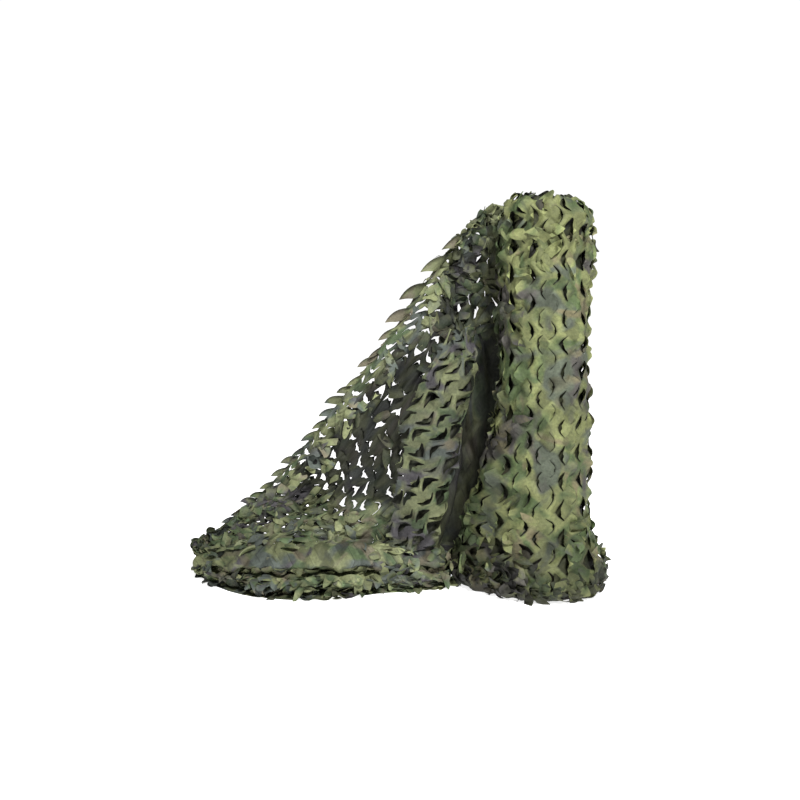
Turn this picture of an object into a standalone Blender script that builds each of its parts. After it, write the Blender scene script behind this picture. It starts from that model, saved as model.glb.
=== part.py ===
"""Camouflage netting: a bulk roll standing on end, with its loose end pulled out to the left.

Metres, +Z up. The origin is the middle of the roll's foot, on the floor. The loose end goes
towards -X, and the front, where the long folds lie on the floor, is -Y.
"""

from collections import namedtuple
from math import cos, exp, pi, radians, sin

import bmesh
import bpy
from mathutils import Vector

# The netting and its roll
LAYER = 0.008  # how far the loose last turn stands off the tighter turns under it
GAP = 0.0003  # between the roll and the loose end
SHEET = 0.0026  # thickness of the loose end
START_EASE = 0.005  # how far the start of the loose end lies off the roll's curves

# Where the last turn leaves the roll, seen from above and counted from +X
LEAVE_ANGLE = radians(125)

# The roll's outline from the floor up: radius, and how far its slumped skirt sags to the left
RollRing = namedtuple("RollRing", "z radius skirt")
ROLL_RINGS = [
    RollRing(0.000, 0.226, 0.105),
    RollRing(0.010, 0.240, 0.105),
    RollRing(0.060, 0.252, 0.100),
    RollRing(0.120, 0.242, 0.092),
    RollRing(0.200, 0.205, 0.085),
    RollRing(0.280, 0.182, 0.072),
    RollRing(0.420, 0.174, 0.048),
    RollRing(0.620, 0.172, 0.012),
    RollRing(0.850, 0.169, 0.000),
    RollRing(1.100, 0.167, 0.000),
    RollRing(1.300, 0.168, 0.000),
    RollRing(1.400, 0.173, 0.000),
    RollRing(1.450, 0.169, 0.000),
    RollRing(1.485, 0.150, 0.000),
    RollRing(1.500, 0.112, 0.000),
    RollRing(1.488, 0.060, 0.000),
    RollRing(1.462, 0.028, 0.000),
]
SKIRT_ANGLE = radians(172)
SKIRT_SPREAD = radians(24)
ROLL_SIDES = 40
ROLL_STEP = 0.072  # height of the faces on the roll's straight side
LUMP = 0.003  # how uneven the winding is
LUMP_FROM_RADIUS = 0.15  # nearer the roll's middle its lumps grow smaller
EYE_DEPTH = 0.006  # how far the eye at the top lies under the last ring
STEP_SHARE = 0.2  # share of one side that the step of the last turn takes

# Lines along the loose end. along is 0 where it leaves the roll and 1 at its free end.
Spot = namedtuple("Spot", "along x y z")

# The upper selvedge, which slants down from the top of the roll to the floor
EDGE = [
    Spot(0.000, -0.106, 0.151, 1.478),
    Spot(0.090, -0.236, 0.082, 1.424),
    Spot(0.220, -0.415, 0.050, 1.237),
    Spot(0.380, -0.588, 0.055, 0.995),
    Spot(0.560, -0.800, 0.085, 0.712),
    Spot(0.785, -1.063, 0.145, 0.380),
    Spot(0.925, -1.255, 0.195, 0.195),
    Spot(1.000, -1.385, 0.225, 0.095),
]
# The middle, where the net turns back behind itself and comes forward as a curtain
KNEE = [
    Spot(0.000, -0.110, 0.158, 0.980),
    Spot(0.100, -0.245, 0.185, 1.020),
    Spot(0.190, -0.340, 0.175, 1.030),
    Spot(0.275, -0.300, 0.105, 1.020),
    Spot(0.350, -0.246, 0.040, 0.990),
    Spot(0.430, -0.368, 0.000, 0.860),
    Spot(0.560, -0.655, 0.040, 0.500),
    Spot(0.700, -0.865, 0.085, 0.340),
    Spot(0.850, -1.115, 0.145, 0.220),
    Spot(1.000, -1.375, 0.210, 0.085),
]
# The foot, where the hanging part meets its folds on the floor
FOOT = [
    Spot(0.000, -0.140, 0.200, 0.070),
    Spot(0.100, -0.300, 0.258, 0.085),
    Spot(0.190, -0.480, 0.250, 0.100),
    Spot(0.235, -0.516, 0.200, 0.105),
    Spot(0.280, -0.478, 0.145, 0.115),
    Spot(0.350, -0.392, 0.055, 0.130),
    Spot(0.430, -0.470, 0.005, 0.150),
    Spot(0.560, -0.680, 0.005, 0.175),
    Spot(0.700, -0.890, 0.010, 0.180),
    Spot(0.850, -1.125, 0.060, 0.150),
    Spot(1.000, -1.365, 0.180, 0.070),
]
# How far the folds on the floor reach from the foot, and the way they point, counted from +X
Reach = namedtuple("Reach", "along depth heading")
REACH = [
    Reach(0.000, 0.004, 255),
    Reach(0.060, 0.020, 262),
    Reach(0.110, 0.040, 270),
    Reach(0.190, 0.014, 292),
    Reach(0.235, 0.012, 360),
    Reach(0.280, 0.014, 425),
    Reach(0.315, 0.028, 400),
    Reach(0.355, 0.042, 340),
    Reach(0.430, 0.070, 275),
    Reach(0.520, 0.090, 270),
    Reach(0.640, 0.165, 270),
    Reach(0.780, 0.175, 270),
    Reach(0.900, 0.150, 270),
    Reach(1.000, 0.070, 270),
]
# The back-and-forth section on the floor, down from the foot: how far out, and how high
Pleat = namedtuple("Pleat", "share reach height")
PLEATS = [
    Pleat(0.00, 0.00, 1.00),
    Pleat(0.12, 0.50, 0.90),
    Pleat(0.23, 0.92, 0.66),
    Pleat(0.33, 0.50, 0.52),
    Pleat(0.43, 0.05, 0.44),
    Pleat(0.53, 0.50, 0.36),
    Pleat(0.63, 1.00, 0.27),
    Pleat(0.73, 0.55, 0.17),
    Pleat(0.82, 0.10, 0.09),
    Pleat(0.89, 0.25, 0.00),
    Pleat(1.00, 1.06, 0.00),
]
HEM_RUN = 0.022  # the last of the width lies flat on the floor at least this far
UPRIGHT = 0.07  # share of the length over which the net still stands up on the floor
UPRIGHT_HEIGHT = 0.8  # how much of the foot's height it stands to there

# Soft ridges in the hanging part: place, width and height along the sheet's front
Ridge = namedtuple("Ridge", "along width push starts")
RIDGES = [
    Ridge(0.475, 0.028, 0.020, 0.30),
    Ridge(0.560, 0.030, -0.016, 0.25),
    Ridge(0.640, 0.026, 0.018, 0.35),
    Ridge(0.740, 0.028, -0.014, 0.30),
    Ridge(0.830, 0.024, 0.014, 0.30),
]

HANG_SHARE = 0.55  # share of the netting's width that hangs, and the rest lies in the pleats
BOW = 0.6  # how round the hanging part is at its middle, where 0 is a plain kink
RIDGE_RISE = 0.4  # share of the hanging part over which a ridge grows to its full height
ROLL_END = 0.05  # share of the length over which the loose end still follows the roll
START_ANGLE = LEAVE_ANGLE - 0.02  # where the loose end begins, a little past the step
LENGTH_FACES = 42
WIDTH_FACES = 44

# The largest gaps, in three staggered rows of the net's faces
GAP_ROWS = 3
GAPS_IN_ROW = 4
FIRST_GAP_COLUMN = 20
FIRST_GAP_ROW = 9
GAP_COLUMN_STEP = 2
GAP_ROW_STEP = 3

NET_GREEN = (0.115, 0.150, 0.075, 1.0)
NET_SHADE = (0.070, 0.085, 0.050, 1.0)


def smooth_between(rows, at, names):
    """Values of the named columns at a place along the rows, on a smooth curve through them."""
    last = len(rows) - 2
    k = max(i for i in range(last + 1) if rows[i][0] <= at or i == 0)
    before, here, there, after = (rows[max(0, min(last + 1, k + i))] for i in (-1, 0, 1, 2))
    span = there[0] - here[0]
    u = (at - here[0]) / span
    values = []
    for name in names:
        p, a, b, q = (getattr(row, name) for row in (before, here, there, after))
        slope_a = (b - p) / (there[0] - before[0]) * span
        slope_b = (q - a) / (after[0] - here[0]) * span
        # A turning point is level, so that the curve stays between its rows.
        slope_a *= (b - a) * (a - p) > 0 or k == 0
        slope_b *= (q - b) * (b - a) > 0 or k == last
        rise = (2 * u**3 - 3 * u**2 + 1) * a + (u**3 - 2 * u**2 + u) * slope_a
        values.append(rise + (3 * u**2 - 2 * u**3) * b + (u**3 - u**2) * slope_b)
    return values


def ease(value):
    """0 below 0, 1 above 1, and a smooth rise between."""
    value = max(0.0, min(1.0, value))
    return value * value * (3 - 2 * value)


def winding(angle):
    """How much of the last turn lies under a place on the roll, from 0 to 1."""
    return ((angle - LEAVE_ANGLE) % (2 * pi)) / (2 * pi)


def roll_radius(angle, radius, skirt, z):
    """The roll's radius, with its winding, its lumps and the skirt that sags to the left."""
    off = (angle - SKIRT_ANGLE + pi) % (2 * pi) - pi
    sag = skirt * exp(-((off / SKIRT_SPREAD) ** 2))
    uneven = LUMP * (sin(3 * angle + 5 * z) + 0.7 * sin(5 * angle - 9 * z + 1.3))
    return radius + LAYER * winding(angle) + sag + uneven * min(1.0, radius / LUMP_FROM_RADIUS)


def roll_rings():
    """The rows of the table, with more between them up the straight side."""
    rings = [ROLL_RINGS[0]]
    for low, high in zip(ROLL_RINGS, ROLL_RINGS[1:]):
        steps = max(1, round((high.z - low.z) / ROLL_STEP))
        for k in range(1, steps + 1):
            share = k / steps
            rings.append(RollRing(*(a + (b - a) * share for a, b in zip(low, high))))
    return rings


def roll_mesh(name):
    """A loft through the rings, closed by a flat foot and a sunken eye at the top."""
    bm = bmesh.new()
    rings = []
    step = 2 * pi / ROLL_SIDES
    for ring in roll_rings():
        corners = []
        for k in range(ROLL_SIDES):
            # The first and last corner stand on the step where the last turn leaves.
            turn = k / (ROLL_SIDES - 1) * (2 * pi - STEP_SHARE * step)
            angle = LEAVE_ANGLE + STEP_SHARE / 2 * step + turn
            r = roll_radius(angle, ring.radius, ring.skirt, ring.z)
            corners.append(bm.verts.new((r * cos(angle), r * sin(angle), ring.z)))
        rings.append(corners)
    for low, high in zip(rings, rings[1:]):
        for k in range(ROLL_SIDES):
            n = (k + 1) % ROLL_SIDES
            bm.faces.new((low[k], low[n], high[n], high[k]))
    bm.faces.new(reversed(rings[0]))
    eye = bm.verts.new((0.0, 0.0, ROLL_RINGS[-1].z - EYE_DEPTH))
    for k in range(ROLL_SIDES):
        bm.faces.new((rings[-1][k], rings[-1][(k + 1) % ROLL_SIDES], eye))
    mesh = bpy.data.meshes.new(name)
    bm.to_mesh(mesh)
    bm.free()
    return mesh


def start_on_roll(z):
    """Where the loose end begins: beside the step of the last turn, just clear of the roll."""
    low, high = next(p for p in zip(ROLL_RINGS, ROLL_RINGS[1:]) if p[0].z <= z <= p[1].z)
    share = (z - low.z) / (high.z - low.z)
    ring = RollRing(*(a + (b - a) * share for a, b in zip(low, high)))
    clear = LAYER + SHEET / 2 + GAP + START_EASE
    r = roll_radius(LEAVE_ANGLE, ring.radius, ring.skirt, z) + clear
    return Vector((r * cos(START_ANGLE), r * sin(START_ANGLE), z))


def hanging(along, down):
    """The hanging part: down is 0 at the upper selvedge and 1 at the foot."""
    edge, knee, foot = (
        Vector(smooth_between(rows, along, "xyz")) for rows in (EDGE, KNEE, FOOT)
    )
    first, second = edge * (1 - down) + knee * down, knee * (1 - down) + foot * down
    # A curve through edge and foot that passes the knee half way.
    place = edge * ((1 - down) * (1 - 2 * down)) + knee * (4 * down * (1 - down))
    place += foot * (down * (2 * down - 1))
    kink = first * (1 - ease(down)) + second * ease(down)
    place = place * BOW + kink * (1 - BOW)
    for ridge in RIDGES:
        push = ridge.push * exp(-(((along - ridge.along) / ridge.width) ** 2))
        place.y -= push * ease((down - ridge.starts) / RIDGE_RISE)
    return place


def lying(along, share):
    """The folds on the floor: share is 0 at the foot and 1 at the lower selvedge."""
    foot = Vector(smooth_between(FOOT, along, "xyz"))
    depth, heading = smooth_between(REACH, along, ["depth", "heading"])
    reach, height = smooth_between(PLEATS, share, ["reach", "height"])
    flat = max(0.0, share - PLEATS[-2].share) / (1 - PLEATS[-2].share)
    out = depth * reach + HEM_RUN * flat * min(1.0, depth / HEM_RUN / 2)
    # Beside the roll the net still stands on its lower selvedge.
    upright = 1 - ease(along / UPRIGHT)
    height = max(height, UPRIGHT_HEIGHT * upright * (1 - share))
    way = radians(heading)
    rise = (foot.z - SHEET / 2) * height
    return Vector((foot.x + out * cos(way), foot.y + out * sin(way), SHEET / 2 + rise))


def sheet_place(along, across):
    """A point of the loose end: along its length, and across its width from the top down."""
    if across <= HANG_SHARE:
        place = hanging(along, across / HANG_SHARE)
    else:
        place = lying(along, (across - HANG_SHARE) / (1 - HANG_SHARE))
    near = 1 - ease(along / ROLL_END)
    if near > 0:
        place = place * (1 - near) + start_on_roll(place.z) * near
    return place


def is_gap(column, row):
    """True for the faces that stand for the net's largest gaps."""
    down, off = divmod(row - FIRST_GAP_ROW, GAP_ROW_STEP)
    if off or not 0 <= down < GAP_ROWS:
        return False
    number, off = divmod(column - FIRST_GAP_COLUMN - down, GAP_COLUMN_STEP)
    return not off and 0 <= number < GAPS_IN_ROW


def sheet_mesh(name):
    """A grid laid on the loose end's surface, with the largest gaps left out."""
    bm = bmesh.new()
    bmesh.ops.create_grid(bm, x_segments=LENGTH_FACES, y_segments=WIDTH_FACES, size=0.5)
    gaps = []
    for face in bm.faces:
        middle = face.calc_center_median()
        column = int((middle.x + 0.5) * LENGTH_FACES)
        row = int((0.5 - middle.y) * WIDTH_FACES)
        if is_gap(column, row):
            gaps.append(face)
    for vertex in bm.verts:
        vertex.co = sheet_place(vertex.co.x + 0.5, 0.5 - vertex.co.y)
    bmesh.ops.delete(bm, geom=gaps, context="FACES_ONLY")
    mesh = bpy.data.meshes.new(name)
    bm.to_mesh(mesh)
    bm.free()
    return mesh


def material(name, colour, roughness):
    """A plain cloth material."""
    made = bpy.data.materials.new(name)
    made.use_nodes = True
    shader = made.node_tree.nodes["Principled BSDF"]
    shader.inputs["Base Color"].default_value = colour
    shader.inputs["Roughness"].default_value = roughness
    made.diffuse_color = colour
    return made


def add_part(name, mesh, collection, look):
    """An object of the part, smooth but for its sharp edges."""
    mesh.shade_smooth()
    mesh.set_sharp_from_angle(angle=radians(50))
    mesh.materials.append(look)
    thing = bpy.data.objects.new(name, mesh)
    collection.objects.link(thing)
    return thing


def main():
    for thing in list(bpy.data.objects):
        bpy.data.objects.remove(thing, do_unlink=True)
    collection = bpy.data.collections.new("camouflage_netting")
    bpy.context.scene.collection.children.link(collection)

    add_part("roll", roll_mesh("roll"), collection, material("roll", NET_GREEN, 0.8))

    look = material("loose_end", NET_SHADE, 0.8)
    loose_end = add_part("loose_end", sheet_mesh("loose_end"), collection, look)
    thicken = loose_end.modifiers.new("thickness", "SOLIDIFY")
    thicken.thickness = SHEET
    thicken.offset = 0.0
    thicken.use_rim = True


main()
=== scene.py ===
"""Camouflage netting: a standing roll of leaf-cut net with its loose end pulled out to the left."""

from math import pi, radians
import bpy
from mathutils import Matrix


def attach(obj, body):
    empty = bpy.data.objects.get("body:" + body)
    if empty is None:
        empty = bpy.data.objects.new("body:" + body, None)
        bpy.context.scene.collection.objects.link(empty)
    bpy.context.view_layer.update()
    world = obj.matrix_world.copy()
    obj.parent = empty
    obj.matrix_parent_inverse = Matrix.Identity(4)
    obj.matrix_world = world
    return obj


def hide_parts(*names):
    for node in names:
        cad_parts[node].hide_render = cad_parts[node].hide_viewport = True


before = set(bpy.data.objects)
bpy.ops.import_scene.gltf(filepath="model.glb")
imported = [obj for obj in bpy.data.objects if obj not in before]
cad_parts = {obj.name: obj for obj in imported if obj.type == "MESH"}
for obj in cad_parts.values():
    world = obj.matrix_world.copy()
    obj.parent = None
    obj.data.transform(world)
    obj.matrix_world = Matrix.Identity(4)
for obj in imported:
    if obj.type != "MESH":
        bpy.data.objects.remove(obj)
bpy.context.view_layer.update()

from types import SimpleNamespace

import bpy
import numpy as np
from mathutils import Vector

# ---------------- the surfaces of the frame's solids
# All lengths are in metres.
LAYER = 0.008  # the step that one turn adds to the roll
GAP = 0.0003  # between the solids
SHEET = 0.0026  # the loose end's thickness
START_EASE = 0.005
LEAVE_ANGLE = radians(125)  # where the last turn leaves the roll
SKIRT_ANGLE = radians(172)
SKIRT_SPREAD = radians(24)
LUMP = 0.003
LUMP_FROM_RADIUS = 0.15
START_ANGLE = LEAVE_ANGLE - 0.02
HANG_SHARE = 0.55  # of the width, which hangs; the rest lies on the floor
BOW = 0.6
RIDGE_RISE = 0.4
ROLL_END = 0.05  # of the length, which turns into the roll's surface
HEM_RUN = 0.022
UPRIGHT = 0.07  # of the length, whose floor folds stand up against the roll
UPRIGHT_HEIGHT = 0.8

# z, radius, skirt, from the foot up to the top rim
ROLL_RINGS = np.array([
    (0.000, 0.226, 0.105), (0.010, 0.240, 0.105), (0.060, 0.252, 0.100), (0.120, 0.242, 0.092),
    (0.200, 0.205, 0.085), (0.280, 0.182, 0.072), (0.420, 0.174, 0.048), (0.620, 0.172, 0.012),
    (0.850, 0.169, 0.000), (1.100, 0.167, 0.000), (1.300, 0.168, 0.000), (1.400, 0.173, 0.000),
    (1.450, 0.169, 0.000), (1.485, 0.150, 0.000), (1.500, 0.112, 0.000),
])
ROLL_TOP = 1.5
# along, x, y, z: the upper selvedge, the line halfway down the hanging part, and its foot
EDGE = np.array([
    (0.000, -0.106, 0.151, 1.478), (0.090, -0.236, 0.082, 1.424), (0.220, -0.415, 0.050, 1.237),
    (0.380, -0.588, 0.055, 0.995), (0.560, -0.800, 0.085, 0.712), (0.785, -1.063, 0.145, 0.380),
    (0.925, -1.255, 0.195, 0.195), (1.000, -1.385, 0.225, 0.095),
])
KNEE = np.array([
    (0.000, -0.110, 0.158, 0.980), (0.100, -0.245, 0.185, 1.020), (0.190, -0.340, 0.175, 1.030),
    (0.275, -0.300, 0.105, 1.020), (0.350, -0.246, 0.040, 0.990), (0.430, -0.368, 0.000, 0.860),
    (0.560, -0.655, 0.040, 0.500), (0.700, -0.865, 0.085, 0.340), (0.850, -1.115, 0.145, 0.220),
    (1.000, -1.375, 0.210, 0.085),
])
FOOT = np.array([
    (0.000, -0.140, 0.200, 0.070), (0.100, -0.300, 0.258, 0.085), (0.190, -0.480, 0.250, 0.100),
    (0.235, -0.516, 0.200, 0.105), (0.280, -0.478, 0.145, 0.115), (0.350, -0.392, 0.055, 0.130),
    (0.430, -0.470, 0.005, 0.150), (0.560, -0.680, 0.005, 0.175), (0.700, -0.890, 0.010, 0.180),
    (0.850, -1.125, 0.060, 0.150), (1.000, -1.365, 0.180, 0.070),
])
# along, depth of the floor folds, heading in degrees
REACH = np.array([
    (0.000, 0.004, 255), (0.060, 0.020, 262), (0.110, 0.040, 270), (0.190, 0.014, 292),
    (0.235, 0.012, 360), (0.280, 0.014, 425), (0.315, 0.028, 400), (0.355, 0.042, 340),
    (0.430, 0.070, 275), (0.520, 0.090, 270), (0.640, 0.165, 270), (0.780, 0.175, 270),
    (0.900, 0.150, 270), (1.000, 0.070, 270),
])
# share, reach, height; the valleys between the pleats are less deep than in the frame
PLEATS = np.array([
    (0.00, 0.00, 1.00), (0.12, 0.50, 0.90), (0.23, 0.91, 0.66), (0.33, 0.70, 0.53),
    (0.43, 0.42, 0.44), (0.53, 0.70, 0.36), (0.63, 1.00, 0.27), (0.73, 0.80, 0.16),
    (0.82, 0.46, 0.08), (0.89, 0.60, 0.00), (1.00, 1.06, 0.00),
])
# along, width, push and start of the upright ridges in the hanging part
RIDGES = [
    (0.475, 0.028, 0.020, 0.30), (0.560, 0.030, -0.016, 0.25), (0.640, 0.026, 0.018, 0.35),
    (0.740, 0.028, -0.014, 0.30), (0.830, 0.024, 0.014, 0.30),
]


def smooth_between(rows, at):
    """The columns after the first, at places along the rows, on a smooth curve through them."""
    last = len(rows) - 2
    k = np.clip(np.searchsorted(rows[:, 0], at, side="right") - 1, 0, last)
    before, here = rows[np.maximum(k - 1, 0)], rows[k]
    there, after = rows[k + 1], rows[np.minimum(k + 2, last + 1)]
    span = there[:, :1] - here[:, :1]
    u = (at[:, None] - here[:, :1]) / span
    p, a, b, q = before[:, 1:], here[:, 1:], there[:, 1:], after[:, 1:]
    slope_a = (b - p) / (there[:, :1] - before[:, :1]) * span
    slope_b = (q - a) / (after[:, :1] - here[:, :1]) * span
    slope_a = slope_a * (((b - a) * (a - p) > 0) | (k == 0)[:, None])
    slope_b = slope_b * (((q - b) * (b - a) > 0) | (k == last)[:, None])
    rise = (2 * u**3 - 3 * u**2 + 1) * a + (u**3 - 2 * u**2 + u) * slope_a
    return rise + (3 * u**2 - 2 * u**3) * b + (u**3 - u**2) * slope_b


def ease(value):
    """0 below 0, 1 above 1, and a smooth rise between them."""
    value = np.clip(value, 0.0, 1.0)
    return value * value * (3 - 2 * value)


def roll_radius(angle, radius, skirt, z, wound):
    """The roll's radius, with its winding, its lumps and the skirt that sags to the left.

    wound is how many turns a place lies from where the last turn leaves.
    """
    off = (angle - SKIRT_ANGLE + pi) % (2 * pi) - pi
    sag = skirt * np.exp(-((off / SKIRT_SPREAD) ** 2))
    uneven = LUMP * (np.sin(3 * angle + 5 * z) + 0.7 * np.sin(5 * angle - 9 * z + 1.3))
    return radius + LAYER * wound + sag + uneven * np.minimum(1.0, radius / LUMP_FROM_RADIUS)


def start_on_roll(z):
    """Where the loose end leaves the roll, just clear of its last turn."""
    radius, skirt = (np.interp(z, ROLL_RINGS[:, 0], ROLL_RINGS[:, c]) for c in (1, 2))
    clear = LAYER + SHEET / 2 + GAP + START_EASE
    r = roll_radius(np.full_like(z, LEAVE_ANGLE), radius, skirt, z, 0.0) + clear
    return np.stack([r * np.cos(START_ANGLE), r * np.sin(START_ANGLE), z], axis=1)


def hanging(along, down):
    """Points of the hanging part, down from its upper selvedge (0) to its foot (1)."""
    edge, knee, foot = (smooth_between(rows, along) for rows in (EDGE, KNEE, FOOT))
    d = down[:, None]
    first, second = edge * (1 - d) + knee * d, knee * (1 - d) + foot * d
    place = edge * ((1 - d) * (1 - 2 * d)) + knee * (4 * d * (1 - d)) + foot * (d * (2 * d - 1))
    kink = first * (1 - ease(d)) + second * ease(d)
    place = place * BOW + kink * (1 - BOW)
    for at, width, push, starts in RIDGES:
        bump = push * np.exp(-(((along - at) / width) ** 2))
        place[:, 1] -= bump * ease((down - starts) / RIDGE_RISE)
    return place


def lying(along, share):
    """Points of the part on the floor, from the hanging part's foot (0) to the hem (1)."""
    foot = smooth_between(FOOT, along)
    depth, heading = smooth_between(REACH, along).T
    reach, height = smooth_between(PLEATS, share).T
    flat = np.maximum(0.0, share - PLEATS[-2, 0]) / (1 - PLEATS[-2, 0])
    out = depth * reach + HEM_RUN * flat * np.minimum(1.0, depth / HEM_RUN / 2)
    upright = 1 - ease(along / UPRIGHT)
    height = np.maximum(height, UPRIGHT_HEIGHT * upright * (1 - share))
    way = np.radians(heading)
    rise = (foot[:, 2] - SHEET / 2) * height
    x, y = foot[:, 0] + out * np.cos(way), foot[:, 1] + out * np.sin(way)
    return np.stack([x, y, SHEET / 2 + rise], axis=1)


def sheet_place(along, across):
    """Points of the loose end: along its length, and across its width from the top down."""
    top = hanging(along, np.minimum(across / HANG_SHARE, 1.0))
    low = lying(along, np.clip((across - HANG_SHARE) / (1 - HANG_SHARE), 0, 1))
    place = np.where((across <= HANG_SHARE)[:, None], top, low)
    near = (1 - ease(along / ROLL_END))[:, None]
    return place * (1 - near) + start_on_roll(np.clip(place[:, 2], 0, ROLL_TOP - 0.001)) * near


# ---------------- the leaf-cut net
STEPS = 12  # mesh steps along one side of a cell, which holds one slit
INSET = 3  # steps from a cell's side to its slit
LEG = 9  # steps in each leg of a slit
PITCH = 0.0975  # metres from cell to cell


def value_noise(u, v, scale, seed):
    """Smooth noise from -1 to 1."""
    size = 96
    grid = np.random.default_rng(seed).uniform(-1, 1, (size + 1, size + 1))
    x, y = u / scale, v / scale
    i, j = np.floor(x).astype(int), np.floor(y).astype(int)
    fx, fy = ease(x - i), ease(y - j)
    i, j = i % size, j % size
    low = grid[i, j] * (1 - fx) + grid[i + 1, j] * fx
    high = grid[i, j + 1] * (1 - fx) + grid[i + 1, j + 1] * fx
    return low * (1 - fy) + high * fy


class Net:
    """A leaf-cut net in cell units: u along the length, v across the width.

    Cells stand on their corners. Each has one slit of two legs, and the tongue between the legs
    can curl out of the net.
    """

    def __init__(self, cells_u, cells_v, steps=STEPS, inset=INSET, leg=LEG):
        n = steps
        wide, high = int(2 * n * cells_u), int(2 * n * cells_v)
        a, b = np.meshgrid(np.arange(wide + 1), np.arange(high + 1), indexing="ij")
        real = (a + b) % 2 == 0
        index = np.full(a.shape, -1)
        index[real] = np.arange(real.sum())
        va, vb = a[real], b[real]
        count = len(va)

        def cell_of(i, j):
            """The cell's number along both of its diagonal directions."""
            return np.floor(i / n).astype(int), np.floor(j / n).astype(int)

        i, j = (va + vb) // 2, (va - vb) // 2
        ci, cj = cell_of(i, j)
        p, q = i - ci * n, j - cj * n
        near, far = inset, n - inset

        def legs(apex, first, last):
            """Whether each point is on a slit that has its apex there and legs from first to last."""
            return ((p == apex) & (q >= first) & (q <= last)) | ((q == apex) & (p >= first) & (p <= last))

        # Every second cell's tongue points on along the length, and the others' point back.
        ahead = (ci + cj) % 2 == 0
        cut = np.where(ahead, legs(far, far - leg + 1, far), legs(near, near, near + leg - 1))
        twin = np.full(count, -1)
        twin[cut] = count + np.arange(cut.sum())

        # Faces: whole diamonds inside, half ones along the rim
        ca, cb = a[~real], b[~real]
        ic, jc = (ca + cb) / 2, (ca - cb) / 2
        fi, fj = cell_of(ic, jc)
        pc, qc = ic - fi * n, jc - fj * n
        f_ahead = (fi + fj) % 2 == 0
        tongue = np.where(f_ahead, (pc < far) & (qc < far), (pc > near) & (qc > near))

        def corner(da, db):
            aa, bb = ca + da, cb + db
            ok = (aa >= 0) & (aa <= wide) & (bb >= 0) & (bb <= high)
            got = np.where(ok, index[np.clip(aa, 0, wide), np.clip(bb, 0, high)], -1)
            use = tongue & (got >= 0) & (twin[got] >= 0)
            # A slit belongs to one cell, so its twin only serves faces of that cell.
            use &= (ci[got] == fi) & (cj[got] == fj)
            return np.where(use, twin[got], got)

        ring = np.stack([corner(-1, 0), corner(0, -1), corner(1, 0), corner(0, 1)], axis=1)
        self.quads = ring[(ring >= 0).all(axis=1)]
        halves = [np.roll(ring, -k - 1, axis=1)[ring[:, k] < 0, :3] for k in range(4)]
        self.tris = np.concatenate([half[(half >= 0).all(axis=1)] for half in halves])

        pick = np.concatenate([np.arange(count), np.flatnonzero(cut)])
        is_twin = np.arange(len(pick)) >= count
        self.u, self.v = va[pick] / (2 * n), vb[pick] / (2 * n)
        self.ahead, self.ci, self.cj = ahead[pick], ci[pick], cj[pick]
        p, q = p[pick], q[pick]
        self.x = np.where(self.ahead, far - p, p - near) / leg
        self.y = np.where(self.ahead, far - q, q - near) / leg
        self.px, self.py = p / n, q / n
        self.side = inset / leg
        self.leg_cells = leg / (2 * n)
        # A tongue's own points: its twins and everything between the legs
        self.inside = (self.x >= 0) & (self.y >= 0) & (is_twin | ((self.x > 0) & (self.y > 0)))
        self.beside = cut[pick] & ~is_twin
        # The middle of each point's cell, by which its slit gets its own values
        self.mid_u = (self.ci + self.cj + 1) / 2
        self.mid_v = (self.ci - self.cj) / 2

    def per_cell(self, seed, low, high):
        """A random value for each slit."""
        size = 256
        table = np.random.default_rng(seed).uniform(low, high, (size, size))
        return table[self.ci % size, self.cj % size]

    def open(self, curl, gap, sink, seed, opened=1.0, dome=0.010, blunt=0.0):
        """Moves of each point: along u and v in cells, and out of the net in metres.

        curl is the angle a tongue's tip turns through, gap how far both sides of a slit draw
        back, in leg lengths, and sink how far the strip beyond the tip drops, in metres. opened
        is 0 where a slit stays shut, dome how far a cell swells, and blunt rounds its hole.
        """
        x, y, side = self.x, self.y, self.side
        inside = self.inside * opened
        outside = (~self.inside) * opened
        over_x, over_y = np.clip(x, 0, 1), np.clip(y, 0, 1)
        near_x, near_y = ease(1 + np.minimum(x, 0) / side), ease(1 + np.minimum(y, 0) / side)
        # Beside the slit the strips draw back, most at the apex and not at all at the legs' ends.
        fade_y = np.where(y <= 0, near_y, np.clip(1 - y / 0.4, 0, 1) * (x <= 0))
        fade_x = np.where(x <= 0, near_x, np.clip(1 - x / 0.4, 0, 1) * (y <= 0))
        taper_x, taper_y = (1 - over_x) ** 0.6, (1 - over_y) ** 0.6
        dy = -outside * gap * taper_x * fade_y * near_x
        dx = -outside * gap * taper_y * fade_x * near_y
        out = -outside * sink * (1 - np.maximum(over_x, over_y)) ** 0.7 * np.minimum(near_x, near_y)
        # The tongue is a little narrower than its hole.
        dy += inside * 0.7 * gap * taper_x * np.clip(1 - y / 0.5, 0, 1)
        dx += inside * 0.7 * gap * taper_y * np.clip(1 - x / 0.5, 0, 1)
        # The apex is rounded on both sides of the slit, and more on the tongue.
        r2 = x**2 + y**2
        inner = np.clip(np.minimum(x + side, y + side) / side, 0, 1)
        tip = (0.17 + 0.1 * blunt) * np.exp(-r2 / 0.26**2)
        around = np.exp(-r2 / (0.18 + 0.22 * blunt) ** 2)
        soft = inside * tip + outside * (0.08 + 0.20 * blunt) * around * inner
        dx += soft
        dy += soft
        # The tongue rolls about the line between its legs' ends.
        d = np.clip(1 - (x + y), 0, 1) * self.inside
        angle = np.maximum(np.abs(curl) * opened, 1e-3)
        back = d - np.sin(angle * d) / angle
        out += inside * (1 - np.cos(angle * d)) / angle * self.leg_cells * PITCH
        dx += back / 2
        dy += back / 2
        twist, cup = self.per_cell(seed, -1, 1), self.per_cell(seed + 1, -0.4, 1)
        out += inside * d * (0.030 * twist * (x - y) + 0.024 * cup * (x - y) ** 2)
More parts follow.
